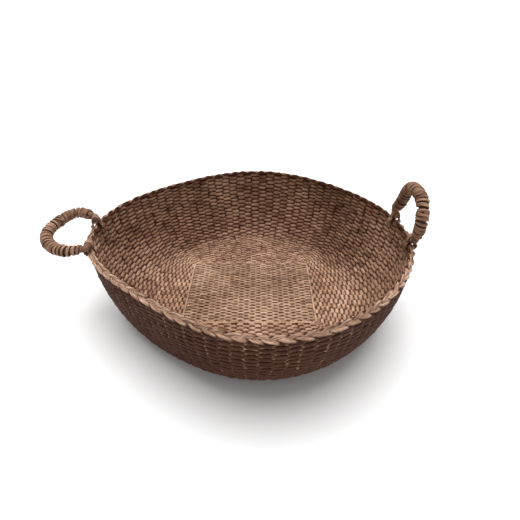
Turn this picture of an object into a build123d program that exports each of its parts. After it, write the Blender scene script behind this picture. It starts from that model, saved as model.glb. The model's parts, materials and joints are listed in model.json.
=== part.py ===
"""Seagrass storage basket: a shallow oval bowl woven on stakes, a plaited rim and two wrapped loop handles.

Millimetres, +Z up. The origin is the middle of the base, on the floor. X runs through the two handles.
"""

from build123d import *
import os
from math import asin, cos, hypot, pi, radians, sin, sqrt, tan

# Rim outline, measured to the middle of the plait
RIM_HALF_WIDTH = 242.0
RIM_HALF_DEPTH = 220.5
RIM_SKEW = 6.5  # the hand-woven oval leans towards its front right and back left
RIM_CORNER = 12.5  # how far the oval is flattened on its diagonals
RIM_FULLNESS = 9.0  # how far the right half bulges and the left half falls short beside the middle
RIM_HEIGHT = 132.0  # middle of the plait above the floor

# Base
FLOOR_HALF_WIDTH = 188.0
FLOOR_HALF_DEPTH = 160.0
PANEL_WIDTH = 212.0
PANEL_DEPTH = 152.0
EDGE_CORD = 4.0  # width of the cord laid round the middle panel

# Weave
WEAVE = 7.0  # thickness over a stake with a strand on each side of it
STAKE = 2.6
STAKE_LAYER_GAP = 0.1  # between the stakes that cross in the panel
STAKE_END_GAP = 6.5  # stakes are cut this far below the wall's top edge
LONG_STAKES = 16
CROSS_STAKES = 22
CORNER_STAKES = 3
CORNER_STAKE_START = 18.0  # from the panel's corner

# Plaited rim
RIM_STRAND = 5.2
RIM_STRAND_GAP = 0.1

# Handles
HANDLE_CORE = 8.0
HANDLE_WRAP = 17.0
HANDLE_END_WRAP = 12.0
HANDLE_FOOT = 46.0  # middle of a leg from the handle's own centre line
HANDLE_REACH = 68.0  # middle of the bow from the hinge
HANDLE_BEND = 5.5  # where a leg turns in to its hinge end
WRAP_START = 9.0  # from the hinge
WRAP_TAPER = 12.0
PIN_OVERHANG = 1.5  # of a hinge end past its lashing
LEFT_LEAN = 92.0  # outwards from upright
RIGHT_LEAN = 0.0
LEFT_PLACE = -20.0  # the handle's centre line along Y
RIGHT_PLACE = -4.0

# Lashings
LASHING_WIDTH = 9.0
LASHING_PLACE = 35.0  # from the handle's centre line
LASHING_THICKNESS = 2.8
LASHING_SLACK = 1.8  # round the plait, which crosses the lashing at a slant
HINGE_CLEARANCE = 0.3  # round the hinge ends
RIM_CLEARANCE = 0.8  # between a hinge end and the plait

OUTLINE_POINTS = 24
WALL_RINGS = 6
SOLVER_STEPS = 30

# Largest value of cos(a) sin(a)^2
FULLEST = 2 / 3 / sqrt(3)

# The plait is a triangle of three strands: two side by side, and one in the groove between them
STRAND_OFFSET = (RIM_STRAND + RIM_STRAND_GAP) / 2
STRAND_RISE = sqrt((RIM_STRAND + RIM_STRAND_GAP) ** 2 - STRAND_OFFSET**2)
PLAIT_HALF_WIDTH = STRAND_OFFSET + RIM_STRAND / 2
PLAIT_HALF_HEIGHT = (STRAND_RISE + RIM_STRAND) / 2
WALL_TOP = RIM_HEIGHT - PLAIT_HALF_HEIGHT
WEAVE_MIDDLE = WEAVE / 2

SIDES = {"left": -1, "right": 1}
ENDS = {"front": -1, "back": 1}
LEANS = {"left": LEFT_LEAN, "right": RIGHT_LEAN}
PLACES = {"left": LEFT_PLACE, "right": RIGHT_PLACE}

os.makedirs("parts", exist_ok=True)


def save(part, name):
    part.label = name
    export_step(part, f"parts/{name}.step")


# ---------------------------------------------------------------- the bowl's shape


def floor_radius(angle):
    """Edge of the flat floor, in the direction of angle."""
    return 1 / hypot(cos(angle) / FLOOR_HALF_WIDTH, sin(angle) / FLOOR_HALF_DEPTH)


def rim_radius(angle):
    """Middle of the plait, in the direction of angle."""
    oval = 1 / hypot(cos(angle) / RIM_HALF_WIDTH, sin(angle) / RIM_HALF_DEPTH)
    fullness = RIM_FULLNESS * cos(angle) * sin(angle) ** 2 / FULLEST
    return oval - RIM_SKEW * sin(2 * angle) - RIM_CORNER * sin(2 * angle) ** 2 + fullness


def bowl_radius(angle, rise):
    """Middle of the weave at a share of the wall's spread: 0 at the floor's edge, 1 at the rim."""
    return floor_radius(angle) + (rim_radius(angle) - floor_radius(angle)) * rise


def rim_x(side, y):
    """How far along X the middle of the plait is at y, on the right (side 1) or the left (side -1)."""
    angle = 0.0
    for _ in range(SOLVER_STEPS):
        angle = asin(y / rim_radius(angle if side > 0 else pi - angle))
    return side * rim_radius(angle if side > 0 else pi - angle) * cos(angle)


def round_points(radius_at):
    """Points all round the origin, at radius_at(angle)."""
    turns = [2 * pi * n / OUTLINE_POINTS for n in range(OUTLINE_POINTS)]
    return [(radius_at(a) * cos(a), radius_at(a) * sin(a)) for a in turns]


def bowl(inset):
    """Closed bowl, its surface set in from the middle of the weave. The profile is a quarter ellipse."""
    bottom = WEAVE_MIDDLE + inset
    with BuildPart() as solid:
        for ring in range(WALL_RINGS + 1):
            climb = pi / 2 * ring / WALL_RINGS
            rise = sin(climb)
            with BuildSketch(Plane.XY.offset(bottom + (WALL_TOP - bottom) * (1 - cos(climb)))):
                with BuildLine():
                    Spline(*round_points(lambda a: bowl_radius(a, rise) - inset * rise), periodic=True)
                make_face()
        loft()
    return solid.part


def floor_slab():
    """The flat of the base, out to the floor's edge."""
    with BuildPart() as solid:
        with BuildSketch():
            with BuildLine():
                Spline(*round_points(floor_radius), periodic=True)
            make_face()
        extrude(amount=WEAVE)
    return solid.part


# ---------------------------------------------------------------- hinge axes and lashings

PIN_TIP = LASHING_PLACE - LASHING_WIDTH / 2 - PIN_OVERHANG
HINGE_RISE = PLAIT_HALF_HEIGHT + RIM_CLEARANCE + HANDLE_CORE / 2


def hinge_plane(side_name, along=0.0):
    """Plane across a hinge, above the plait: x outwards, y up. along is the distance from its middle."""
    side, place = SIDES[side_name], PLACES[side_name]
    front, back = (
        Vector(rim_x(side, place + end * LASHING_PLACE), place + end * LASHING_PLACE, RIM_HEIGHT + HINGE_RISE)
        for end in (-1, 1)
    )
    direction = (back - front).normalized()
    outwards = Vector(direction.Y, -direction.X, 0) * side
    return Plane(origin=(front + back) / 2 + direction * along, x_dir=outwards, z_dir=-direction * side)


def lashing_loop(side_name, end, grow):
    """Block round a hinge end and the plait below it, with an outline grown by grow."""
    with BuildPart() as block:
        with BuildSketch(hinge_plane(side_name, end * LASHING_PLACE)):
            Circle(HANDLE_CORE / 2 + HINGE_CLEARANCE + grow)
            with Locations((0, -HINGE_RISE)):
                Circle(PLAIT_HALF_WIDTH + LASHING_SLACK + grow)
            make_hull()
        extrude(amount=LASHING_WIDTH / 2, both=True)
    return block.part


for side_name in SIDES:
    for end_name, end in ENDS.items():
        with BuildPart() as lashing:
            add(lashing_loop(side_name, end, LASHING_THICKNESS))
            add(lashing_loop(side_name, end, 0), mode=Mode.SUBTRACT)
        save(lashing.part, f"{side_name}_{end_name}_lashing")


# ---------------------------------------------------------------- woven base and wall

with BuildPart() as panel_weft:
    Box(PANEL_WIDTH, PANEL_DEPTH, WEAVE, align=(Align.CENTER, Align.CENTER, Align.MIN))
save(panel_weft.part, "panel_weft")

with BuildPart() as panel_edge_cord:
    with BuildSketch():
        Rectangle(PANEL_WIDTH + 2 * EDGE_CORD, PANEL_DEPTH + 2 * EDGE_CORD)
        fillet(vertices(), EDGE_CORD)
        Rectangle(PANEL_WIDTH, PANEL_DEPTH, mode=Mode.SUBTRACT)
    extrude(amount=WEAVE)
save(panel_edge_cord.part, "panel_edge_cord")

with BuildPart() as floor_weft:
    add(floor_slab())
    with BuildSketch():
        Rectangle(PANEL_WIDTH + 2 * EDGE_CORD, PANEL_DEPTH + 2 * EDGE_CORD)
        fillet(vertices(), EDGE_CORD)
    extrude(amount=WEAVE, mode=Mode.SUBTRACT)
save(floor_weft.part, "floor_weft")

with BuildPart() as wall_weft:
    add(bowl(-WEAVE_MIDDLE))
    add(bowl(WEAVE_MIDDLE), mode=Mode.SUBTRACT)
    add(floor_slab(), mode=Mode.SUBTRACT)
    for side_name in SIDES:
        for end in ENDS.values():
            add(lashing_loop(side_name, end, LASHING_THICKNESS), mode=Mode.SUBTRACT)
save(wall_weft.part, "wall_weft")


# ---------------------------------------------------------------- stakes

STAKE_COUNT = 2 * (LONG_STAKES + CROSS_STAKES) + 4 * CORNER_STAKES
STAKE_TURN = 2 * pi / STAKE_COUNT
STAKE_LAYER = (STAKE + STAKE_LAYER_GAP) / 2
STAKE_TOP = WALL_TOP - STAKE_END_GAP
# Where tangents at the start, middle and end of a quarter ellipse meet, as a share of each axis
TANGENT_SHARE = sqrt(2) - 1
PANEL_BEND = 12.0
# How much of the sloping run each bend takes up, and of the upright run at most
LOW_BEND_SHARE = 0.42
HIGH_BEND_SHARE = 0.53
UPRIGHT_SHARE = 0.95


def wall_corners(angle):
    """Corners of a stake's run up the wall, from the low bend to its cut end."""
    low = bowl_radius(angle, TANGENT_SHARE)
    high = rim_radius(angle)
    bend = WEAVE_MIDDLE + (WALL_TOP - WEAVE_MIDDLE) * (1 - TANGENT_SHARE)
    climb = ((low, WEAVE_MIDDLE), (high, bend), (high, STAKE_TOP))
    return [(radius * cos(angle), radius * sin(angle), height) for radius, height in climb]


def wall_bends(climb):
    """Radii of the high and the low bend in a climb of three corners."""
    low, high, top = (Vector(*corner) for corner in climb)
    flat = Vector(low.X, low.Y, 0)
    slope, upright = high - low, top - high
    low_half_turn = radians(flat.get_angle(slope)) / 2
    high_half_turn = radians(slope.get_angle(upright)) / 2
    high_reach = min(HIGH_BEND_SHARE * slope.length, UPRIGHT_SHARE * upright.length)
    return high_reach / tan(high_half_turn), LOW_BEND_SHARE * slope.length / tan(low_half_turn)


def stake(corners, radii):
    """One round stake, bent at corners."""
    with BuildPart() as solid:
        with BuildLine() as run:
            FilletPolyline(*corners, radius=radii)
        with BuildSketch(Plane(origin=run.line @ 0, z_dir=run.line % 0)):
            Circle(STAKE / 2)
        sweep()
    return solid.part.solid()


def through_stake(n, count, half_length, pitch, layer, across):
    """A stake that lies in the panel and climbs the wall at both of its ends."""
    place = n - (count - 1) / 2
    near, far = place * STAKE_TURN, pi - place * STAKE_TURN
    flat = [(half_length, place * pitch), (-half_length, place * pitch)]
    if across:
        near, far = pi / 2 - near, place * STAKE_TURN - pi / 2
        flat = [(y, x) for x, y in flat]
    middle = [(x, y, WEAVE_MIDDLE + layer) for x, y in flat]
    near_climb, far_climb = wall_corners(near), wall_corners(far)
    near_high, near_low = wall_bends(near_climb)
    far_high, far_low = wall_bends(far_climb)
    radii = [near_high, near_low, PANEL_BEND, PANEL_BEND, far_low, far_high]
    return stake(near_climb[::-1] + middle + far_climb, radii)


def corner_stake(n, right, back):
    """A stake added at a corner of the panel, where the others fan apart."""
    turn = (LONG_STAKES / 2 + n + 0.5) * STAKE_TURN
    climb = wall_corners(back * (turn if right > 0 else pi - turn))
    corner = Vector(right * PANEL_WIDTH / 2, back * PANEL_DEPTH / 2, WEAVE_MIDDLE)
    start = corner + (Vector(*climb[0]) - corner).normalized() * CORNER_STAKE_START
    high_bend, low_bend = wall_bends(climb)
    return stake([start, *climb], [low_bend, high_bend])


long_stakes = [
    through_stake(n, LONG_STAKES, PANEL_WIDTH / 2, PANEL_DEPTH / LONG_STAKES, -STAKE_LAYER, False)
    for n in range(LONG_STAKES)
]
save(Compound(long_stakes), "long_stakes")

cross_stakes = [
    through_stake(n, CROSS_STAKES, PANEL_DEPTH / 2, PANEL_WIDTH / CROSS_STAKES, STAKE_LAYER, True)
    for n in range(CROSS_STAKES)
]
save(Compound(cross_stakes), "cross_stakes")

corner_stakes = [
    corner_stake(n, right, back)
    for right in SIDES.values()
    for back in ENDS.values()
    for n in range(CORNER_STAKES)
]
save(Compound(corner_stakes), "corner_stakes")


# ---------------------------------------------------------------- plaited rim


def rim_ring(offset, height):
    """One of the plait's strands, offset from its middle line."""
    with BuildPart() as ring:
        with BuildLine(Plane.XY.offset(height)) as run:
            Spline(*round_points(lambda a: rim_radius(a) + offset), periodic=True)
        with BuildSketch(Plane(origin=run.line @ 0, z_dir=run.line % 0)):
            Circle(RIM_STRAND / 2)
        sweep()
    return ring.part


LOW_STRAND = WALL_TOP + RIM_STRAND / 2
save(rim_ring(-STRAND_OFFSET, LOW_STRAND), "rim_strand_inner")
save(rim_ring(STRAND_OFFSET, LOW_STRAND), "rim_strand_outer")
save(rim_ring(0, LOW_STRAND + STRAND_RISE), "rim_strand_top")


# ---------------------------------------------------------------- handles

WRAP_FULL = WRAP_START + WRAP_TAPER
BOW_CENTRE = HANDLE_REACH - HANDLE_FOOT


def handle_plane(side_name):
    """Plane of a handle at its hinge: x along the hinge, y towards the bow."""
    across = hinge_plane(side_name)
    tilt = radians(LEANS[side_name])
    up = across.x_dir * sin(tilt) + Vector(0, 0, 1) * cos(tilt)
    return Plane(origin=across.origin, x_dir=across.z_dir, z_dir=across.z_dir.cross(up))


def handle_core(plane):
    """Cane bent to a bow, with its two ends turned in along the hinge."""
    with BuildPart() as core:
        with BuildLine(plane) as run:
            FilletPolyline(
                (-PIN_TIP, 0), (-HANDLE_FOOT, 0), (-HANDLE_FOOT, BOW_CENTRE), radius=HANDLE_BEND
            )
            ThreePointArc((-HANDLE_FOOT, BOW_CENTRE), (0, HANDLE_REACH), (HANDLE_FOOT, BOW_CENTRE))
            FilletPolyline(
                (HANDLE_FOOT, BOW_CENTRE), (HANDLE_FOOT, 0), (PIN_TIP, 0), radius=HANDLE_BEND
            )
        with BuildSketch(Plane(origin=run.line @ 0, z_dir=run.line % 0)):
            Circle(HANDLE_CORE / 2)
        sweep()
    return core.part


def handle_wrap(plane):
    """Sleeve of strand wound on the cane, thinner where it starts and ends."""
    with BuildPart() as wrap:
        with BuildLine(plane) as run:
            Line((-HANDLE_FOOT, WRAP_FULL), (-HANDLE_FOOT, BOW_CENTRE))
            ThreePointArc((-HANDLE_FOOT, BOW_CENTRE), (0, HANDLE_REACH), (HANDLE_FOOT, BOW_CENTRE))
            Line((HANDLE_FOOT, BOW_CENTRE), (HANDLE_FOOT, WRAP_FULL))
        with BuildSketch(Plane(origin=run.line @ 0, z_dir=run.line % 0)):
            Circle(HANDLE_WRAP / 2)
        sweep()
        for foot in (-HANDLE_FOOT, HANDLE_FOOT):
            for height, width in ((WRAP_START, HANDLE_END_WRAP), (WRAP_FULL, HANDLE_WRAP)):
                level = Plane(
                    origin=plane.from_local_coords((foot, height, 0)), z_dir=plane.y_dir, x_dir=plane.x_dir
                )
                with BuildSketch(level):
                    Circle(width / 2)
            loft()
        add(handle_core(plane), mode=Mode.SUBTRACT)
    return wrap.part


for side_name in SIDES:
    plane = handle_plane(side_name)
    save(handle_core(plane), f"{side_name}_handle_core")
    save(handle_wrap(plane), f"{side_name}_handle_wrap")
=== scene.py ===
"""Looks of the seagrass basket: woven strands, plaited rim, wound handles and lashings on the frame.

Metres. Every size comes from the frame's nodes or from the named values below.
"""

import json
from math import cos, pi, radians, sin

import bpy
import numpy as np
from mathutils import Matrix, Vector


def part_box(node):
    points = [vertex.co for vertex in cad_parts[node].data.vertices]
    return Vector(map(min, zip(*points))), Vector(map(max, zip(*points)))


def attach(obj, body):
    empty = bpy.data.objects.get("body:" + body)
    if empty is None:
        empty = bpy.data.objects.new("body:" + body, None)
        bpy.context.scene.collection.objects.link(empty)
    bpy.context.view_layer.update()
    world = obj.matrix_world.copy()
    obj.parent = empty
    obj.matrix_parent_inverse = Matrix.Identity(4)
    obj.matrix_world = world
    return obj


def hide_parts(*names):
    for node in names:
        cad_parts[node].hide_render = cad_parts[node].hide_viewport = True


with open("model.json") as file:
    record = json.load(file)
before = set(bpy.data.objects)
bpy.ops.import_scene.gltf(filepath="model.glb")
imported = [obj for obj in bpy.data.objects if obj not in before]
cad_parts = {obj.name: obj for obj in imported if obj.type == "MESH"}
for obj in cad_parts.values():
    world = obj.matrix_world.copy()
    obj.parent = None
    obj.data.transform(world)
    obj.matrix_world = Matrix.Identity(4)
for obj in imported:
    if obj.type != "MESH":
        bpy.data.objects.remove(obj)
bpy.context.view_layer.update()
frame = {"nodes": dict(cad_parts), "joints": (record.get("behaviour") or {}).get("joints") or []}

MM = 0.001
TURN = 2 * pi
rng = np.random.default_rng(11)

# Weave
LONG_STAKES = 16
CROSS_STAKES = 22
CORNER_STAKES = 3
STAKES = 2 * (LONG_STAKES + CROSS_STAKES) + 4 * CORNER_STAKES
STAKE_TURN = TURN / STAKES
STAKE_THICKNESS = 1.2 * MM
STAKE_SPREAD = 0.34  # half width of a stake as a share of the gap between two
ROUNDS = 56
ROUNDS_PER_PIECE = 12
PANEL_ROWS = 44
WEAVE_SWING = 1.4 * MM
WEAVE_LIFT = 0.7 * MM  # keeps the bulging strands on the floor
STRAND_THICKNESS = 1.9 * MM
STRAND_WIDTH = 1.55  # share of a round's own height
WIDTH_ROUGHNESS = 0.22
THICKNESS_ROUGHNESS = 0.16
SWING_ROUGHNESS = 0.3
ROUND_WANDER = 0.13  # share of a round
FLOAT_SHIFT = 0.42  # how far a crossing drifts along its strand, in radians of the weave
PANEL_STRAND_WIDTH = 1.28
PANEL_WIDTH_ROUGHNESS = 0.24
PANEL_SWING_ROUGHNESS = 0.2
PANEL_ROW_WANDER = 0.22  # share of a row
STRAND_PLY = 0.07
WALL_CROSSING_SHADE = 0.75
PANEL_CROSSING_SHADE = 0.55
OUTER_PAINTED_SHADE = 1.35  # how much darker the weave's outer face is painted: painted shade for the face turned away from the light
SAMPLES_PER_STAKE = 10
STRAND_SIDES = 8

# Cord round the panel
CORD_STACK = 1.5 * MM  # height of each turn over or under the middle
CORD_WIDTH = 2.1 * MM
CORD_THICKNESS = 1.7 * MM
CORD_PLY = 0.22
CORD_PLY_PITCH = 12 * MM
CORD_SAMPLES = 620

# Plait
PLAIT_PITCH = 58 * MM
PLAIT_SWING = 3.2 * MM
PLAIT_REACH = 4.2 * MM
PLAIT_LIFT = 1.25 * MM
STEMS_PER_STRAND = 4
STEM_GAP = 1.9 * MM
STEM_RADIUS = 1.35 * MM
STEM_ROUGHNESS = 0.25
PLAIT_TILT = radians(28)
PLAIT_SAMPLES = 1500

# Handles and lashings
WRAP_PITCH = 5.6 * MM
WRAP_THICKNESS = 1.9 * MM
# Place and half width in a turn, and thickness
WRAP_STEMS = ((-0.08, 0.37, 2.2 * MM), (0.24, 0.19, WRAP_THICKNESS))
# Flare of the front leg, flare of the back leg, lean to the back, and stoop
BOW_SHAPE = {
    "left_handle": (3 * MM, 17 * MM, 15 * MM, 0),
    "right_handle": (1 * MM, -17 * MM, -10 * MM, 4.5 * MM),
}
# Place on the bow, side of it, and length
LOOSE_ENDS = {
    "left_handle": ((0.02, 2.6, 8 * MM), (0.66, 0.3, 9 * MM), (0.68, 0.9, 7 * MM), (0.97, 0.6, 5 * MM)),
    "right_handle": ((0.22, 0.4, 4 * MM), (0.95, 2.6, 5 * MM)),
}
# Place on the bow, side of it, and bulge
KNOTS = {"left_handle": (0.67, 0.4, 5 * MM), "right_handle": (0.24, 0.2, 4 * MM)}
PIN_BEND = 6 * MM  # bend between a hinge end and its leg
BINDING_PITCH = 1.9 * MM
LASHING_TURNS = 5
LASHING_GAP = 1.75 * MM
LASHING_SLANT = 0.8 * MM
LASHING_SAMPLES = 90
WAIST_PULL = 0.3  # how far a lashing draws in between the pin and the plait
WAIST_REACH = 2.4 * MM
LASHING_ENDS = 6
LASHING_STRAND = 1.2 * MM

# Stage and light
FLOOR_REACH = 40.0
WORLD_LIGHT = 0.5
KEY_LIGHT = 3.6
KEY_SOFTNESS = 55
KEY_BEHIND = 14

# Camera
LENS = 24.9
CAMERA_PITCH = 36.87
CAMERA_RIGHT = 0.0176
CAMERA_BACK = 0.479
CAMERA_ABOVE_RIM = 0.300


# ---------------------------------------------------------------- sizes read from the frame


def node_points(name):
    vertices = frame["nodes"][name].data.vertices
    points = np.empty(3 * len(vertices))
    vertices.foreach_get("co", points)
    return points.reshape(-1, 3)


def half_size(name):
    low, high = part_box(name)
    return (high - low) / 2


def ring_radius(name, harmonics=8):
    """Radius of a ring's middle line as a smooth function of the angle."""
    points = node_points(name)
    angle = np.arctan2(points[:, 1], points[:, 0])
    order = np.arange(1, harmonics + 1)

    def terms(at):
        turns = np.multiply.outer(at, order)
        return np.concatenate([np.ones(np.shape(at) + (1,)), np.cos(turns), np.sin(turns)], -1)

    shares = np.linalg.lstsq(terms(angle), np.hypot(points[:, 0], points[:, 1]), rcond=None)[0]
    return lambda at: terms(at) @ shares


rim_radius = ring_radius("rim_strand_top")
WEAVE = 2 * half_size("panel_weft").z
WEAVE_MIDDLE = WEAVE / 2 + WEAVE_LIFT
WALL_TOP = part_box("wall_weft")[1].z
PLAIT_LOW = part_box("rim_strand_inner")[0].z
PLAIT_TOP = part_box("rim_strand_top")[1].z
RIM_HEIGHT = (PLAIT_LOW + PLAIT_TOP) / 2
FLOOR = half_size("floor_weft")
CORD = half_size("panel_edge_cord")
PANEL = half_size("panel_weft")
CORD_RADIUS = (CORD.x - PANEL.x) / 2
HINGES = {joint["child"]: joint for joint in frame["joints"]}


def floor_radius(angle):
    return 1 / np.hypot(np.cos(angle) / FLOOR.x, np.sin(angle) / FLOOR.y)


# ---------------------------------------------------------------- small tools


def unit(vectors):
    return vectors / np.maximum(np.linalg.norm(vectors, axis=-1, keepdims=True), 1e-12)


def wander(count, samples, closed=True):
    """A smooth random line of the given samples, about -1 to 1, through count random values."""
    values = rng.uniform(-1, 1, count)
    at = np.arange(samples) * count / samples
    left = np.floor(at).astype(int)
    share = at - left
    share = share * share * (3 - 2 * share)
    right = (left + 1) % count if closed else np.minimum(left + 1, count - 1)
    return values[left] * (1 - share) + values[right] * share


def tangents(path, closed):
    if closed:
        return unit(np.roll(path, -1, 0) - np.roll(path, 1, 0))
    return unit(np.gradient(path, axis=0))


def run_along(path):
    """Length along path up to each of its points."""
    return np.concatenate([[0], np.cumsum(np.linalg.norm(np.diff(path, axis=0), axis=1))])


def tube(path, sideways, width, height, sides, closed, ply=0.0, ply_pitch=9 * MM, painted_shade_mask=0.0):
    """A tube along path. width runs sideways and height across it. Its last argument is its share of painted
    shade, 1 where it dives under others.
    """
    count = len(path)
    along = tangents(path, closed)
    sideways = unit(sideways - (sideways * along).sum(1, keepdims=True) * along)
    upward = np.cross(along, sideways)
    run = run_along(path)
    turn = TURN * np.arange(sides) / sides
    swell = 1 + ply * np.cos(2 * (turn[None, :] - TURN * run[:, None] / ply_pitch))
    across = np.broadcast_to(np.asarray(width, float).reshape(-1, 1), (count, 1)) * np.cos(turn) * swell
    out = np.broadcast_to(np.asarray(height, float).reshape(-1, 1), (count, 1)) * np.sin(turn) * swell
    points = path[:, None] + across[..., None] * sideways[:, None] + out[..., None] * upward[:, None]
    rings = count if closed else count - 1
    ring, side = np.meshgrid(np.arange(rings), np.arange(sides), indexing="ij")
    corners = [(ring, side), (ring + 1, side), (ring + 1, side + 1), (ring, side + 1)]
    faces = np.stack([r % count * sides + q % sides for r, q in corners], -1).reshape(-1, 4)
    shares = np.stack([np.stack([r / rings, q / sides], -1) for r, q in corners], -2).reshape(-1, 2)
    ends = [] if closed else [np.arange(sides)[::-1], (count - 1) * sides + np.arange(sides)]
    painted_shade_masks = np.broadcast_to(np.asarray(painted_shade_mask, float).reshape(-1, 1), (count, sides)).ravel()
    return {"points": points.reshape(-1, 3), "faces": faces, "ends": ends, "run": np.repeat(run, sides),
            "turn": np.tile(turn, count), "painted_shade_mask": painted_shade_masks, "shares": shares}


def piece(name, tubes, material, body="root", replaces=()):
    """One mesh of several tubes. Its attributes hold each strand's run, turn, own number and share of painted
    shade.

    The map lays each strand in a band of its own.
    """
    points, faces, strand, painted_shade_masks, bands, offset = [], [], [], [], [], 0
    for number, made in enumerate(tubes):
        points.append(made["points"])
        faces += (made["faces"] + offset).tolist() + [(end + offset).tolist() for end in made["ends"]]
        own = np.full(len(made["points"]), rng.uniform(0, 100))
        strand.append(np.stack([made["run"], made["turn"], own], 1))
        painted_shade_masks.append(made["painted_shade_mask"])
        band = made["shares"] * (1, 0.9) + (0, number + 0.05)
        bands.append(band / (1, len(tubes)))
        for end in made["ends"]:
            bands.append(np.tile([[0.0 if end[0] else 1.0, (number + 0.5) / len(tubes)]], (len(end), 1)))
        offset += len(made["points"])
    mesh = bpy.data.meshes.new(name)
    mesh.from_pydata(np.concatenate(points), [], faces)
    mesh.shade_smooth()
    attribute = mesh.attributes.new("strand", "FLOAT_VECTOR", "POINT")
    attribute.data.foreach_set("vector", np.concatenate(strand).astype(np.float32).ravel())
    attribute = mesh.attributes.new("painted_shade_mask", "FLOAT", "POINT")
    attribute.data.foreach_set("value", np.concatenate(painted_shade_masks).astype(np.float32))
    bake = mesh.uv_layers.new(name="OFBake")
    bake.data.foreach_set("uv", np.concatenate(bands).astype(np.float32).ravel())
    mesh.materials.append(material)
    made = bpy.data.objects.new(name, mesh)
    bpy.context.scene.collection.objects.link(made)
    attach(made, body)
    if replaces:
        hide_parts(*replaces)
    return made


# ---------------------------------------------------------------- materials


def grass(name, dark, middle, light, roughness=0.62, tone=0.5, painted_shade_strength=0.85):
    """Dried grass: streaks along each strand, a tone for each strand, and patches over the object. Painted
    shade darkens each strand's sides and the places the mesh marks for painted shade.
    """
    material = bpy.data.materials.new(name)
    material.use_nodes = True
    tree = material.node_tree
    shader = tree.nodes["Principled BSDF"]
    shader.inputs["Roughness"].default_value = roughness
    shader.inputs["Specular IOR Level"].default_value = 0.12

    def node(kind, **values):
        made = tree.nodes.new(kind)
        for key, value in values.items():
            if key in made.inputs:
                made.inputs[key].default_value = value
            else:
                setattr(made, key, value)
        return made

    def link(source, target):
        tree.links.new(source, target)

    strand = node("ShaderNodeAttribute", attribute_name="strand")
    streak_place = node("ShaderNodeVectorMath", operation="MULTIPLY")
    streak_place.inputs[1].default_value = (150, 1.9, 7.0)
    link(strand.outputs["Vector"], streak_place.inputs[0])
    streaks = node("ShaderNodeTexNoise", Scale=1.0, Detail=4.0, Roughness=0.65)
    link(streak_place.outputs[0], streaks.inputs["Vector"])

    tone_place = node("ShaderNodeVectorMath", operation="MULTIPLY")
    tone_place.inputs[1].default_value = (55, 0.0, 3.1)
    link(strand.outputs["Vector"], tone_place.inputs[0])
    tones = node("ShaderNodeTexNoise", Scale=1.0, Detail=2.0)
    link(tone_place.outputs[0], tones.inputs["Vector"])

    place = node("ShaderNodeTexCoord")
    patches = node("ShaderNodeTexNoise", Scale=9.0, Detail=3.0)
    link(place.outputs["Object"], patches.inputs["Vector"])

    mix_one = node("ShaderNodeMix", data_type="FLOAT")
    mix_one.inputs[0].default_value = tone
    link(streaks.outputs["Fac"], mix_one.inputs[2])
    link(tones.outputs["Fac"], mix_one.inputs[3])
    mix_two = node("ShaderNodeMix", data_type="FLOAT")
    mix_two.inputs[0].default_value = 0.28
    link(mix_one.outputs[0], mix_two.inputs[2])
    link(patches.outputs["Fac"], mix_two.inputs[3])

    ramp = node("ShaderNodeValToRGB")
    stops = ramp.color_ramp.elements
    stops[0].position, stops[0].color = 0.385, (*dark, 1)
    stops[1].position, stops[1].color = 0.62, (*light, 1)
    stop = stops.new(0.5)
    stop.color = (*middle, 1)
    link(mix_two.outputs[0], ramp.inputs["Fac"])

    # Painted shade: each strand darkens towards its sides, where the valleys between strands lie.
    split = node("ShaderNodeSeparateXYZ")
    link(strand.outputs["Vector"], split.inputs[0])
    cosine = node("ShaderNodeMath", operation="COSINE")
    link(split.outputs["Y"], cosine.inputs[0])
    edge = node("ShaderNodeMath", operation="ABSOLUTE")
    link(cosine.outputs[0], edge.inputs[0])
    shade = node("ShaderNodeMapRange", interpolation_type="SMOOTHSTEP")
    shade.inputs["From Min"].default_value = 0.6
    shade.inputs["To Max"].default_value = painted_shade_strength
    link(edge.outputs[0], shade.inputs["Value"])
    # More painted shade where the mesh marks it; the darker of the two is kept.
    painted_shade_mask = node("ShaderNodeAttribute", attribute_name="painted_shade_mask")
    low = node("ShaderNodeMath", operation="MULTIPLY")
    low.inputs[1].default_value = painted_shade_strength
    link(painted_shade_mask.outputs["Fac"], low.inputs[0])
    painted_shade_amount = node("ShaderNodeMath", operation="MAXIMUM")
    link(shade.outputs["Result"], painted_shade_amount.inputs[0])
    link(low.outputs[0], painted_shade_amount.inputs[1])
    # Painted shade mixes the colour towards a dark red-brown.
    painted_shade_mix = node("ShaderNodeMix", data_type="RGBA")
    link(painted_shade_amount.outputs[0], painted_shade_mix.inputs["Factor"])
    link(ramp.outputs["Color"], painted_shade_mix.inputs[6])
    painted_shade_mix.inputs[7].default_value = (dark[0] * 0.42, dark[1] * 0.22, dark[2] * 0.16, 1)
    link(painted_shade_mix.outputs[2], shader.inputs["Base Color"])

    fibre_place = node("ShaderNodeVectorMath", operation="MULTIPLY")
    fibre_place.inputs[1].default_value = (260, 5.0, 7.0)
    link(strand.outputs["Vector"], fibre_place.inputs[0])
    fibres = node("ShaderNodeTexNoise", Scale=1.0, Detail=3.0, Roughness=0.7)
    link(fibre_place.outputs[0], fibres.inputs["Vector"])
    bump = node("ShaderNodeBump", Strength=0.55, Distance=0.0009)
    link(fibres.outputs["Fac"], bump.inputs["Height"])
    link(bump.outputs["Normal"], shader.inputs["Normal"])
    return material


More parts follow.
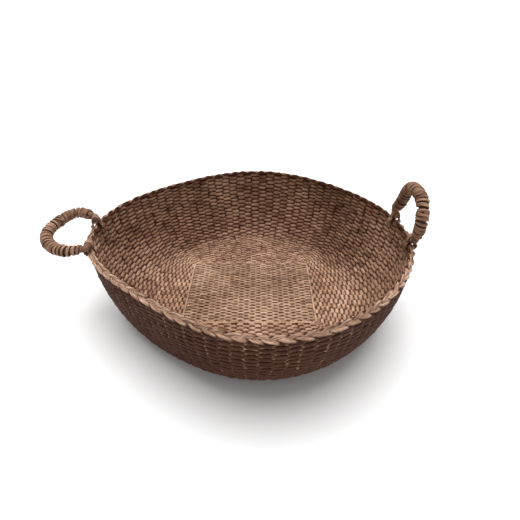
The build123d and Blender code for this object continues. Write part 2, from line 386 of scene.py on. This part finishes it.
WEFT = grass("weft_grass", (0.125, 0.058, 0.034), (0.365, 0.205, 0.13), (0.66, 0.43, 0.30), painted_shade_strength=0.68)
PANEL_GRASS = grass("panel_grass", (0.15, 0.08, 0.047), (0.40, 0.24, 0.158), (0.66, 0.45, 0.32), painted_shade_strength=0.6)
PLAIT_GRASS = grass("plait_grass", (0.12, 0.06, 0.035), (0.33, 0.195, 0.128), (0.66, 0.455, 0.33), painted_shade_strength=1.0)
LASHING_GRASS = grass(
    "lashing_grass", (0.14, 0.075, 0.045), (0.36, 0.215, 0.14), (0.62, 0.42, 0.30), painted_shade_strength=0.5
)
WRAP_GRASS = grass("wrap_grass", (0.085, 0.04, 0.023), (0.27, 0.148, 0.092), (0.52, 0.33, 0.225), painted_shade_strength=0.85)
CANE = grass("stake_cane", (0.06, 0.03, 0.018), (0.12, 0.062, 0.038), (0.19, 0.11, 0.07), painted_shade_strength=0.3)
BOW_CANE = grass("bow_cane", (0.12, 0.065, 0.04), (0.25, 0.145, 0.09), (0.40, 0.25, 0.165), painted_shade_strength=0.2)


# ---------------------------------------------------------------- the weave's middle surface


def panel_edge(angle):
    """Where the stake that climbs the wall at this angle leaves the panel's edge cord."""
    folded = np.arctan2(np.abs(np.sin(angle)), np.abs(np.cos(angle)))
    side_end = LONG_STAKES / 2 * STAKE_TURN
    front_start = pi / 2 - CROSS_STAKES / 2 * STAKE_TURN
    corner = np.clip((folded - side_end) / (front_start - side_end), 0, 1) * pi / 2
    bend = 2 * CORD_RADIUS
    x = CORD.x - bend * (1 - np.cos(corner))
    y = CORD.y - bend * (1 - np.sin(corner))
    x = np.where(folded > front_start, (pi / 2 - folded) / (pi / 2 - front_start) * x, x)
    y = np.where(folded < side_end, folded / side_end * y, y)
    return x * np.sign(np.cos(angle)), y * np.sign(np.sin(angle))


def meridians(angle, steps_flat=16, steps_wall=28):
    """Lines on the middle of the weave, from the panel's edge up to the rim, one for each angle."""
    start = np.stack(panel_edge(angle), 1)
    direction = np.stack([np.cos(angle), np.sin(angle)], 1)
    edge = floor_radius(angle)[:, None] * direction
    share = np.linspace(0, 1, steps_flat, endpoint=False)[None, :, None]
    flat = start[:, None] * (1 - share) + edge[:, None] * share
    flat = np.concatenate([flat, np.full(flat.shape[:2] + (1,), WEAVE_MIDDLE)], 2)
    climb = np.linspace(0, pi / 2, steps_wall)[None, :]
    radius = floor_radius(angle)[:, None] + (rim_radius(angle) - floor_radius(angle))[:, None] * np.sin(climb)
    height = WEAVE_MIDDLE + (WALL_TOP + 3 * MM - WEAVE_MIDDLE) * (1 - np.cos(climb)) + 0 * radius
    wall = np.concatenate([radius[..., None] * direction[:, None], height[..., None]], 2)
    return np.concatenate([flat, wall], 1)


def spread(lines, shares):
    """Points at shares of each line's length."""
    steps = np.linalg.norm(np.diff(lines, axis=1), axis=2)
    run = np.concatenate([np.zeros((len(lines), 1)), np.cumsum(steps, 1)], 1)
    out = np.empty((len(lines), shares.shape[-1], 3))
    for n, line in enumerate(lines):
        at = (shares[n] if shares.ndim > 1 else shares) * run[n, -1]
        for axis in range(3):
            out[n, :, axis] = np.interp(at, run[n], line[:, axis])
    return out, run[:, -1]


# ---------------------------------------------------------------- woven rounds


def over_and_under(phase):
    """The strand's swing: flat-topped over each stake, 1 inside and -1 outside."""
    wave = np.cos(phase)
    return np.sign(wave) * np.abs(wave) ** 0.75


def crossing_shade(swing, strength):
    """Dark where the strand passes from one face of the weave to the other."""
    return strength * np.clip(0.9 - 1.6 * np.abs(swing), 0, 1)


def weave_rounds():
    samples = STAKES * SAMPLES_PER_STAKE
    angle = TURN * np.arange(samples) / samples - pi
    lines = meridians(angle)
    nominal = (np.arange(ROUNDS) + 0.5) / ROUNDS
    shares = np.stack([nominal[n] + wander(37, samples) * ROUND_WANDER / ROUNDS for n in range(ROUNDS)], 1)
    shares = np.clip(shares, 0.2 / ROUNDS, 1 - 0.3 / ROUNDS)
    surface, length = spread(lines, shares)
    along = unit(np.roll(surface, -1, 0) - np.roll(surface, 1, 0))
    upward = unit(np.gradient(surface, axis=1))
    inward = unit(np.cross(upward, along))
    tubes = []
    for n in range(ROUNDS):
        shift = FLOAT_SHIFT * wander(STAKES // 2, samples)
        swing = over_and_under(pi * (angle / STAKE_TURN - 0.5) + pi * n + shift)
        swing = swing * (1 + SWING_ROUGHNESS * wander(STAKES, samples))
        # Painted shade where the strand passes between the faces, and painted shade over the weave's outer
        # face
        painted_shade_mask = crossing_shade(swing, WALL_CROSSING_SHADE) + OUTER_PAINTED_SHADE * np.clip(0.5 - swing, 0, 1)
        path = surface[:, n] + inward[:, n] * (swing * WEAVE_SWING)[:, None]
        width = length / ROUNDS / 2 * (STRAND_WIDTH + WIDTH_ROUGHNESS * wander(STAKES, samples))
        height = STRAND_THICKNESS * (1 + THICKNESS_ROUGHNESS * wander(STAKES, samples))
        tubes.append(tube(path, upward[:, n], width, height, STRAND_SIDES, True, ply=STRAND_PLY, painted_shade_mask=painted_shade_mask))
    return tubes


def make_rounds():
    tubes = weave_rounds()
    names = [f"weave_rounds_{n + 1}" for n in range(-(-ROUNDS // ROUNDS_PER_PIECE))]
    for n, name in enumerate(names):
        part = tubes[n * ROUNDS_PER_PIECE:(n + 1) * ROUNDS_PER_PIECE]
        stands_for = ("floor_weft",) if n == 0 else ("wall_weft",) if n == 1 else ()
        piece(name, part, WEFT, replaces=stands_for)


# ---------------------------------------------------------------- middle panel


def make_panel():
    samples = CROSS_STAKES * SAMPLES_PER_STAKE
    x = np.linspace(-PANEL.x, PANEL.x, samples)
    pitch = 2 * PANEL.y / PANEL_ROWS
    tubes = []
    for n in range(PANEL_ROWS):
        y = -PANEL.y + pitch * (n + 0.5) + pitch * PANEL_ROW_WANDER * wander(14, samples, False)
        phase = pi * (x / (2 * PANEL.x) * CROSS_STAKES + n)
        rough = PANEL_SWING_ROUGHNESS * wander(CROSS_STAKES, samples, False)
        swing = over_and_under(phase + pi / 2) * (1 + rough)
        painted_shade_mask = crossing_shade(swing, PANEL_CROSSING_SHADE)
        path = np.stack([x, y, WEAVE_MIDDLE + swing * WEAVE_SWING], 1)
        sideways = np.broadcast_to((0.0, 1.0, 0.0), path.shape)
        rough = PANEL_WIDTH_ROUGHNESS * wander(CROSS_STAKES, samples, False)
        width = pitch / 2 * (PANEL_STRAND_WIDTH + rough)
        tubes.append(tube(path, sideways, width, STRAND_THICKNESS, STRAND_SIDES, False, STRAND_PLY, painted_shade_mask=painted_shade_mask))
    piece("panel_rows", tubes, PANEL_GRASS, replaces=("panel_weft",))


def make_edge_cord():
    """Two turns of twisted cord round the panel, one over the other."""
    reach_x, reach_y, bend = CORD.x - CORD_RADIUS, CORD.y - CORD_RADIUS, 2.5 * CORD_RADIUS
    corners = [(1, 1, 0), (-1, 1, 1), (-1, -1, 2), (1, -1, 3)]
    points = []
    for side_x, side_y, quarter in corners:
        for turn in np.linspace(0, pi / 2, 7) + quarter * pi / 2:
            corner_x, corner_y = side_x * (reach_x - bend), side_y * (reach_y - bend)
            points.append((corner_x + bend * cos(turn), corner_y + bend * sin(turn)))
    points.append(points[0])
    points = np.array(points)
    run = run_along(points)
    at = np.linspace(0, run[-1], CORD_SAMPLES, endpoint=False)
    flat = np.stack([np.interp(at, run, points[:, 0]), np.interp(at, run, points[:, 1])], 1)
    tubes = []
    for height in (WEAVE_MIDDLE - CORD_STACK, WEAVE_MIDDLE + CORD_STACK):
        path = np.column_stack([flat, height + 0.6 * MM * wander(90, len(flat))])
        sideways = np.cross(tangents(path, True), (0, 0, 1.0))
        cord = tube(path, sideways, CORD_WIDTH, CORD_THICKNESS, STRAND_SIDES, True, CORD_PLY, CORD_PLY_PITCH)
        tubes.append(cord)
    piece("panel_cord", tubes, PANEL_GRASS, replaces=("panel_edge_cord",))


# ---------------------------------------------------------------- stakes


def make_stakes():
    """Flat bundles of cane that follow the middle of the weave and show in its gaps."""
    centre = (np.arange(STAKES) + 0.5) * STAKE_TURN - pi
    lines, _ = spread(meridians(centre), np.linspace(0, 0.985, 40))
    folded = np.arctan2(np.abs(np.sin(centre)), np.abs(np.cos(centre)))
    long = folded < LONG_STAKES / 2 * STAKE_TURN
    cross = folded > pi / 2 - CROSS_STAKES / 2 * STAKE_TURN
    groups = {"long_stakes": long, "cross_stakes": cross, "corner_stakes": ~(long | cross)}
    for name, chosen in groups.items():
        tubes = []
        for line in lines[chosen]:
            gap = np.hypot(line[:, 0], line[:, 1]) * STAKE_TURN
            width = np.minimum(gap, 12 * MM) * STAKE_SPREAD
            around = np.stack([-line[:, 1], line[:, 0], 0 * gap], 1)
            tubes.append(tube(line, around, width, STAKE_THICKNESS, 8, False))
        if name == "cross_stakes":
            width = 2 * CORD.x / CROSS_STAKES * STAKE_SPREAD
            for x in lines[chosen][:, 0, 0][lines[chosen][:, 0, 1] > 0]:
                y = np.linspace(-CORD.y, CORD.y, 12)
                path = np.stack([np.full(12, x), y, np.full(12, WEAVE_MIDDLE)], 1)
                sideways = np.broadcast_to((1.0, 0, 0), path.shape)
                tubes.append(tube(path, sideways, width, STAKE_THICKNESS, 8, False))
        piece("woven_" + name, tubes, CANE, replaces=(name,))


# ---------------------------------------------------------------- plaited rim


def make_rim():
    samples = PLAIT_SAMPLES
    angle = TURN * np.arange(samples) / samples
    radius = rim_radius(angle)
    outward = np.stack([np.cos(angle), np.sin(angle), 0 * angle], 1)
    middle = radius[:, None] * outward + np.array([0, 0, RIM_HEIGHT])
    along = tangents(middle, True)
    outward = unit(np.cross(along, (0, 0, 1.0)))
    across = outward * cos(PLAIT_TILT) - np.array([0, 0, 1.0]) * sin(PLAIT_TILT)
    over = outward * sin(PLAIT_TILT) + np.array([0, 0, 1.0]) * cos(PLAIT_TILT)
    run = np.cumsum(np.linalg.norm(middle - np.roll(middle, 1, 0), axis=1))
    cycles = round(run[-1] / PLAIT_PITCH)
    phase = TURN * cycles * run / run[-1]
    names = ("rim_strand_inner", "rim_strand_outer", "rim_strand_top")
    drift = 0.5 * wander(31, samples)
    for member, name in enumerate(names):
        own = phase + drift + TURN * member / 3 + 0.22 * wander(2 * cycles, samples)
        swing = PLAIT_SWING * np.sin(own) * (1 + 0.12 * wander(cycles, samples))
        lift = PLAIT_LIFT * np.sin(2 * own)
        tubes = []
        for stem in range(STEMS_PER_STRAND):
            slide = (stem - (STEMS_PER_STRAND - 1) / 2) * STEM_GAP
            rough = 0.35 * MM * wander(130, samples)
            lateral = (swing + slide * (0.45 + 0.55 * np.abs(np.sin(own)))) / PLAIT_REACH
            lateral = PLAIT_REACH * np.tanh(lateral) + rough
            rise = lift + 0.45 * MM * wander(110, samples) + slide * 0.45 * np.cos(own)
            path = middle + across * lateral[:, None] + over * rise[:, None]
            thick = STEM_RADIUS * (1 + STEM_ROUGHNESS * wander(90, samples))
            # Painted shade where the stem dips under the other members of the plait.
            painted_shade_mask = np.clip(-0.1 - 1.3 * np.sin(2 * own), 0, 1)
            tubes.append(tube(path, across, thick, thick * 0.92, 8, True, 0.06, 14 * MM, painted_shade_mask))
        piece("plait_" + name, tubes, PLAIT_GRASS, replaces=(name,))


# ---------------------------------------------------------------- handles


def hinge_frame(body):
    """Hinge point, direction along the hinge towards the back, and outwards over the rim."""
    hinge = np.array(HINGES[body]["pos_m"], float)
    along = unit(np.array(HINGES[body]["axis"], float))
    along = along * np.sign(along[1])
    outward = np.array([along[1], -along[0], 0]) * np.sign(hinge[0])
    return hinge, along, outward


def handle_sizes(body):
    """The handle's plane at rest, and the sizes of its cane and its winding, from the CAD nodes."""
    hinge, along, _ = hinge_frame(body)
    core, wrap = node_points(body + "_core") - hinge, node_points(body + "_wrap") - hinge
    top = core[np.abs(core @ along) < 4 * MM].mean(0)
    up = unit(top - (top @ along) * along)
    normal = np.cross(along, up)
    cane = np.abs(core @ normal).max()
    sizes = {
        "cane": cane,
        "reach": (core @ up).max() - cane,
        "foot": np.abs(core @ along).max() - cane,
        "pin": np.abs(core @ along)[core @ up < cane].min(),
        "grip": np.abs(wrap @ normal).max(),
        "start": (wrap @ up).min(),
    }
    return hinge, along, up, normal, sizes


def bow(body, samples=260):
    """The cane's line from hinge end to hinge end round the bow, and each point's height over the hinge."""
    hinge, along, up, normal, size = handle_sizes(body)
    foot, reach = size["foot"], size["reach"]
    pin = np.stack([np.linspace(-size["pin"], -foot + PIN_BEND, 8), np.zeros(8)], 1)
    turn = np.linspace(0, pi / 2, 8)[1:]
    bend = np.stack([-foot + PIN_BEND * (1 - np.sin(turn)), PIN_BEND * (1 - np.cos(turn))], 1)
    leg = np.stack([np.full(10, -foot), np.linspace(7 * MM, reach - foot, 10)], 1)
    arc = np.linspace(pi, pi / 2, 40)[1:]
    top = np.stack([foot * np.cos(arc), reach - foot + foot * np.sin(arc)], 1)
    half = np.concatenate([pin, bend, leg, top])
    flat = np.concatenate([half, half[-2::-1] * (-1, 1)])
    share = flat[:, 1] / reach
    front_flare, back_flare, lean, stoop = BOW_SHAPE[body]
    flare = np.where(flat[:, 0] > 0, back_flare, -front_flare)
    flat[:, 0] += flare * np.sin(pi * np.clip(share, 0, 1)) ** 1.3 + lean * share**1.5
    flat[:, 1] -= stoop * np.clip(share, 0, 1) ** 2
    run = run_along(flat)
    at = np.linspace(0, run[-1], samples)
    flat = np.stack([np.interp(at, run, flat[:, 0]), np.interp(at, run, flat[:, 1])], 1)
    sag = 1.6 * MM * wander(5, samples, False) * np.clip(flat[:, 1] / reach, 0, 1)
    path = hinge + flat[:, :1] * along + flat[:, 1:] * up + sag[:, None] * normal
    return path, flat[:, 1]


def loose_end(start, direction, length, curl, radius=0.55 * MM):
    """A short dry end of strand that stands off the winding."""
    at = np.linspace(0, 1, 10)[:, None]
    path = np.array(start) + np.array(direction) * length * at + np.array(curl) * length * at**2
    thin = radius * (1 - 0.55 * at[:, 0])
    return tube(path, np.cross(tangents(path, False), (0.3, 0.2, 1.0)), thin, thin, 5, False)


def points_at(path, run, at):
    return np.stack([np.interp(at, run, path[:, axis]) for axis in range(3)], 1)


def make_binding(line, height, normal, size):
    """Thin turns of strand over the bare cane at each foot."""
    tubes = []
    run = run_along(line)
    foot_run = run[height < size["start"] + 3 * MM]
    first_foot = foot_run[foot_run < run[-1] / 2].max()
    last_foot = foot_run[foot_run > run[-1] / 2].min()
    for first, last in ((0.0, first_foot), (last_foot, run[-1])):
        at = np.linspace(first, last, 200)
        middle = points_at(line, run, at)
        forward = tangents(middle, False)
        turn = TURN * (at - first) / BINDING_PITCH + wander(9, 200, False)
        around = np.cos(turn)[:, None] * np.cross(forward, normal) + np.sin(turn)[:, None] * normal
        coil = middle + around * (size["cane"] + 0.3 * MM)
        tubes.append(tube(coil, forward, 0.95 * MM, 0.45 * MM, 6, False))
    return tubes


def make_winding(line, height, normal, size):
    """The wound strands and the padding under them, with the winding's middle line and two directions."""
    wound = line[height >= size["start"]]
    run = run_along(wound)
    total = run[-1]
    turns = int(total / WRAP_PITCH)
    samples = turns * 22
    pace = np.linspace(0, 1, samples) + 0.35 / turns * wander(turns, samples, False)
    at = np.clip(pace, 0, 1) * total
    centre = points_at(wound, run, at)
    forward = tangents(points_at(wound, run, np.linspace(0, total, samples)), False)
    side = np.cross(forward, normal)
    edge = np.clip(np.minimum(at, total - at) / (14 * MM), 0, 1)
    grip = (size["grip"] - WRAP_THICKNESS) * (0.74 + 0.26 * edge)
    turn = TURN * np.linspace(0, turns, samples)
    around = np.cos(turn)[:, None] * side + np.sin(turn)[:, None] * normal
    tubes = []
    for slide, share, thick in WRAP_STEMS:
        radius = grip + 0.7 * MM * wander(turns, samples, False)
        radius = radius + 0.35 * MM * wander(3 * turns, samples, False)
        sway = 0.8 * MM * wander(2 * turns, samples, False)
        coil = centre + around * radius[:, None] + forward * (slide * WRAP_PITCH + sway)[:, None]
        width = WRAP_PITCH * share * (1 + 0.2 * wander(2 * turns, samples, False))
        tubes.append(tube(coil, forward, width, thick * (1 + 0.2 * wander(turns, samples, False)), 8, False))
    inner = (size["grip"] - 2.9 * MM) * (0.7 + 0.3 * np.clip(np.minimum(run, total - run) / (14 * MM), 0, 1))
    # The padding is painted dark all over: painted shade for the gaps between the turns.
    tubes.append(tube(wound, np.broadcast_to(normal, wound.shape), inner, inner, 16, False, painted_shade_mask=1.0))
    return tubes, centre, forward, side


def make_handle(body):
    *_, normal, size = handle_sizes(body)
    line, height = bow(body)
    cane = tube(line, np.broadcast_to(normal, line.shape), size["cane"], size["cane"], 16, False)
    piece(body + "_cane", [cane], BOW_CANE, body, (body + "_core",))

    tubes = make_binding(line, height, normal, size)
    winding, centre, forward, side = make_winding(line, height, normal, size)
    tubes += winding
    last = len(centre) - 1
    for share, lean, length in LOOSE_ENDS[body]:
        n = int(share * last)
        out = cos(lean) * side[n] + sin(lean) * normal
        root = centre[n] + out * (size["grip"] - 1.2 * MM)
        tubes.append(loose_end(root, out, length, forward[n] * 0.5 - out * 0.3))
        aim = out * 0.7 + forward[n] * 0.5
        tubes.append(loose_end(root + forward[n] * MM, aim, length * 0.8, -forward[n] * 0.9))
    share, lean, bulge = KNOTS[body]
    n = int(share * last)
    out = cos(lean) * side[n] + sin(lean) * normal
    turn = np.linspace(0, TURN, 30, endpoint=False)
    reach_a, reach_b = size["grip"] * 0.95 + bulge * 0.35, size["grip"] * 0.97
    for tilt in (-0.5, 0.1, 0.6):
        across = unit(np.cross(out, forward[n]) + forward[n] * tilt)
        middle = centre[n] + out * bulge * 0.5 + forward[n] * tilt * 2 * MM
        ring = middle + np.cos(turn)[:, None] * out * reach_a + np.sin(turn)[:, None] * across * reach_b
        tubes.append(tube(ring, np.broadcast_to(forward[n], ring.shape), 1.4 * MM, 1.1 * MM, 7, True))
    piece(body + "_winding", tubes, WRAP_GRASS, body, (body + "_wrap",))


def make_lashing(name):
    """Turns of strand round a hinge end and the plait below it, side by side across the lashing's width."""
    body = name.split("_")[0] + "_handle"
    hinge, along, outward = hinge_frame(body)
    cane = handle_sizes(body)[-1]["cane"]
    low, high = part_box(name)
    place = ((np.array(low) + np.array(high)) / 2 - hinge) @ along
    pin_radius = cane + LASHING_STRAND
    drop = hinge[2] - RIM_HEIGHT
    plait_radius = RIM_HEIGHT - low.z - LASHING_STRAND
    tubes = []
    for n in range(LASHING_TURNS):
        slide = (n - (LASHING_TURNS - 1) / 2) * LASHING_GAP
        grow = 0.5 * MM * rng.uniform(-1, 1)
        half = np.linspace(0, pi, 16)
        over_pin = np.stack([(pin_radius + grow) * np.cos(half), (pin_radius + grow) * np.sin(half)], 1)
        below = plait_radius + grow
        under = np.stack([-below * np.cos(half), -drop - below * np.sin(half)], 1)
        loop = np.concatenate([over_pin, under])
        loop = np.concatenate([loop, loop[:1]])
        run = run_along(loop)
        at = np.linspace(0, run[-1], LASHING_SAMPLES, endpoint=False)
        x, z = np.interp(at, run, loop[:, 0]), np.interp(at, run, loop[:, 1])
        x = x * (1 - WAIST_PULL * np.exp(-(((z + pin_radius + MM) / WAIST_REACH) ** 2)))
        slant = LASHING_SLANT * np.sin(TURN * at / run[-1] + n)
        sway = place + slide + slant + 0.5 * MM * wander(7, LASHING_SAMPLES)
        path = hinge + outward * x[:, None] + along * sway[:, None] + np.array([0, 0, 1.0]) * z[:, None]
        sideways = np.broadcast_to(along, path.shape)
        thick = LASHING_STRAND * (1 + 0.2 * wander(9, LASHING_SAMPLES))
        tubes.append(tube(path, sideways, thick, thick * 0.85, 8, True))
    inside = hinge - outward * plait_radius - np.array([0, 0, drop])
    for n in range(LASHING_ENDS):
        root = inside + along * (place + rng.uniform(-6, 6) * MM)
        aim = unit(-outward * rng.uniform(0.1, 0.5) + along * rng.uniform(-1.1, 1.1) - np.array([0, 0, 1.0]))
        tubes.append(loose_end(root, aim, rng.uniform(8, 19) * MM, outward * 0.25, 1.05 * MM))
    piece(name + "_turns", tubes, LASHING_GRASS, "root", (name,))


# ---------------------------------------------------------------- stage, light and camera


def make_stage():
    mesh = bpy.data.meshes.new("studio_floor")
    corners = [(FLOOR_REACH * x, FLOOR_REACH * y, 0) for x, y in ((-1, -1), (1, -1), (1, 1), (-1, 1))]
    mesh.from_pydata(corners, [], [(0, 1, 2, 3)])
    floor = bpy.data.objects.new("studio_floor", mesh)
    bpy.context.scene.collection.objects.link(floor)
    material = bpy.data.materials.new("studio_floor")
    material.use_nodes = True
    material.node_tree.nodes["Principled BSDF"].inputs["Base Color"].default_value = (0.86, 0.86, 0.86, 1)
    material.node_tree.nodes["Principled BSDF"].inputs["Roughness"].default_value = 0.9
    mesh.materials.append(material)


def make_light():
    world = bpy.data.worlds.new("studio")
    bpy.context.scene.world = world
    world.use_nodes = True
    world.node_tree.nodes["Background"].inputs["Color"].default_value = (1, 1, 1, 1)
    world.node_tree.nodes["Background"].inputs["Strength"].default_value = WORLD_LIGHT
    data = bpy.data.lights.new("key", "SUN")
    data.energy, data.angle = KEY_LIGHT, radians(KEY_SOFTNESS)
    key = bpy.data.objects.new("key", data)
    key.location = (0, 0.4, 1.5)
    key.rotation_euler = (radians(-KEY_BEHIND), 0, 0)
    bpy.context.scene.collection.objects.link(key)


def make_camera():
    data = bpy.data.cameras.new("camera")
    data.lens = LENS
    data.sensor_width = 36
    camera = bpy.data.objects.new("camera", data)
    camera.location = (CAMERA_RIGHT, -CAMERA_BACK, RIM_HEIGHT + CAMERA_ABOVE_RIM)
    camera.rotation_euler = (radians(90 - CAMERA_PITCH), 0, 0)
    bpy.context.scene.collection.objects.link(camera)
    bpy.context.scene.camera = camera
    bpy.context.scene.view_settings.view_transform = "Standard"


make_rounds()
make_panel()
make_edge_cord()
make_stakes()
make_rim()
for handle in ("left_handle", "right_handle"):
    make_handle(handle)
for lashing in ("left_front_lashing", "left_back_lashing", "right_front_lashing", "right_back_lashing"):
    make_lashing(lashing)
make_stage()
make_light()
make_camera()
